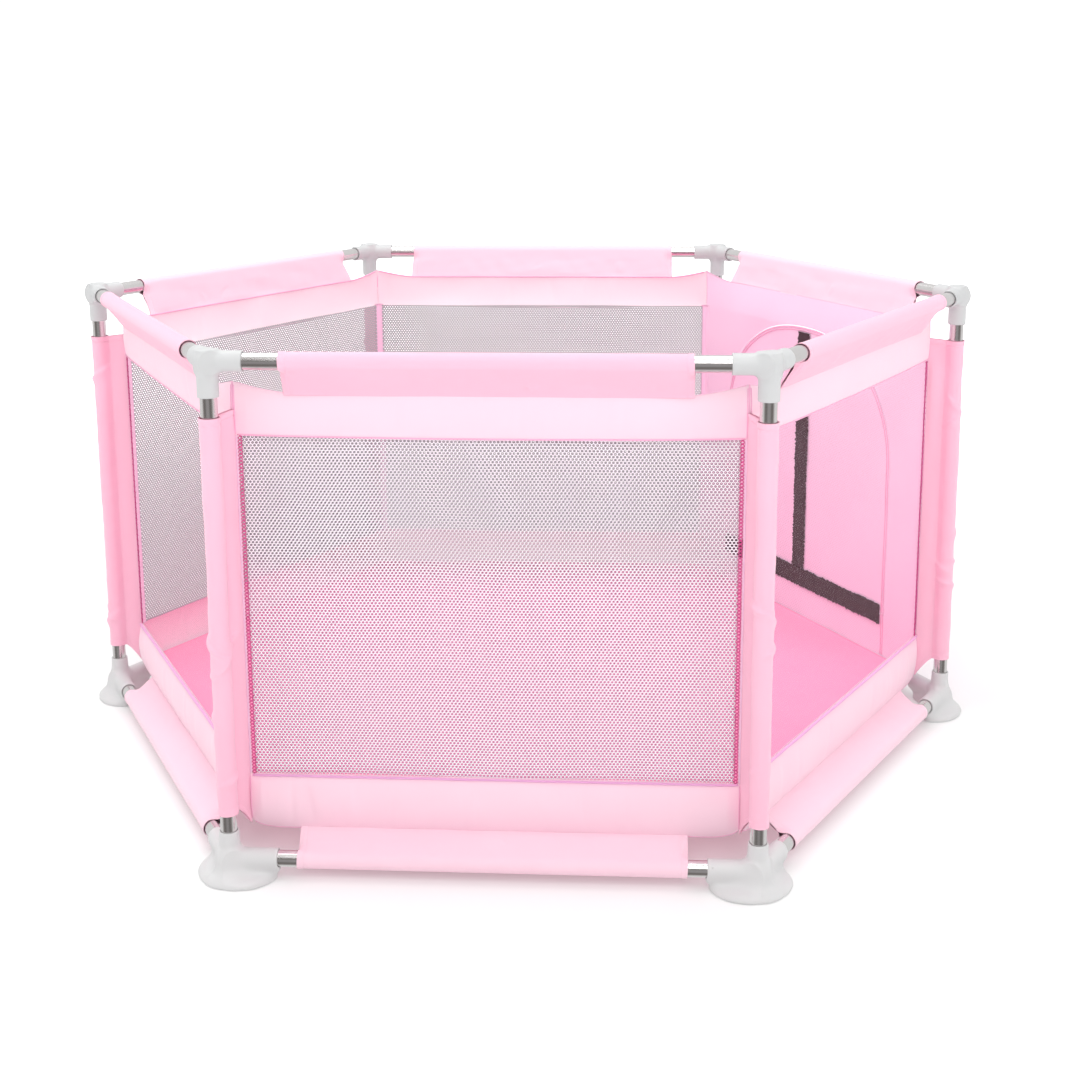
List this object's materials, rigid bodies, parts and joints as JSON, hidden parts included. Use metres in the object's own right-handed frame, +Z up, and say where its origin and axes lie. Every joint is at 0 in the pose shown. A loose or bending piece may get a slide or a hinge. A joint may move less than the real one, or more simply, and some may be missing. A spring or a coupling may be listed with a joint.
{
  "type": "playpen",
  "caption": "Hexagonal baby playpen: steel tube frame, white corner joints and feet, pink cloth liner with mesh windows, cloth floor and an arched two-leaf door.",
  "frame": {"origin": "on the ground under the middle of the pen", "axes": "+Z up, -Y towards the front side, whose rails run along X"},
  "size_m": [1.352, 1.1884, 0.6552],
  "materials": {
    "white_plastic": "satin moulded white",
    "polished_steel": "bright polished tube",
    "sleeve_cloth": "woven polyester, pink",
    "liner_cloth": "woven polyester, light pink",
    "floor_cloth": "woven polyester, deeper pink",
    "netting": "open knitted netting, near white",
    "black_tape": "fuzzy black tape"
  },
  "bodies": {
    "pen": {"top_connector_front_left": "white_plastic", "top_connector_front_right": "white_plastic", "top_connector_right": "white_plastic", "top_connector_back_right": "white_plastic", "top_connector_back_left": "white_plastic", "top_connector_left": "white_plastic", "foot_front_left": "white_plastic", "foot_front_right": "white_plastic", "foot_right": "white_plastic", "foot_back_right": "white_plastic", "foot_back_left": "white_plastic", "foot_left": "white_plastic", "post_front_left": "polished_steel", "post_front_right": "polished_steel", "post_right": "polished_steel", "post_back_right": "polished_steel", "post_back_left": "polished_steel", "post_left": "polished_steel", "top_rail_front": "polished_steel", "top_rail_right_front": "polished_steel", "top_rail_right_back": "polished_steel", "top_rail_back": "polished_steel", "top_rail_left_back": "polished_steel", "top_rail_left_front": "polished_steel", "bottom_rail_front": "polished_steel", "bottom_rail_right_front": "polished_steel", "bottom_rail_right_back": "polished_steel", "bottom_rail_back": "polished_steel", "bottom_rail_left_back": "polished_steel", "bottom_rail_left_front": "polished_steel", "top_sleeve_front": "sleeve_cloth", "top_sleeve_right_front": "sleeve_cloth", "top_sleeve_right_back": "sleeve_cloth", "top_sleeve_back": "sleeve_cloth", "top_sleeve_left_back": "sleeve_cloth", "top_sleeve_left_front": "sleeve_cloth", "bottom_sleeve_front": "sleeve_cloth", "bottom_sleeve_right_front": "sleeve_cloth", "bottom_sleeve_right_back": "sleeve_cloth", "bottom_sleeve_back": "sleeve_cloth", "bottom_sleeve_left_back": "sleeve_cloth", "bottom_sleeve_left_front": "sleeve_cloth", "post_sleeve_front_left": "sleeve_cloth", "post_sleeve_front_right": "sleeve_cloth", "post_sleeve_right": "sleeve_cloth", "post_sleeve_back_right": "sleeve_cloth", "post_sleeve_back_left": "sleeve_cloth", "post_sleeve_left": "sleeve_cloth", "liner_wall": "liner_cloth", "mesh_front": "netting", "mesh_right_front": "netting", "mesh_back": "netting", "mesh_left_back": "netting", "mesh_left_front": "netting", "floor": "floor_cloth", "door_panel": "liner_cloth", "closure_tape_sill": "black_tape"},
    "leaf_left": {"door_leaf_left": "liner_cloth", "closure_tape_upright": "black_tape"},
    "leaf_right": {"door_leaf_right": "liner_cloth"}
  },
  "joints": [
    {"name": "left_leaf_swing", "type": "hinge", "parent": "pen", "child": "leaf_left", "pos_m": [0.33781, 0.45542, 0.345], "axis": [0, 0, 1], "range_deg": [0, 110]},
    {"name": "right_leaf_swing", "type": "hinge", "parent": "pen", "child": "leaf_right", "pos_m": [0.5633, 0.06484, 0.345], "axis": [0, 0, -1], "range_deg": [0, 110]}
  ]
}
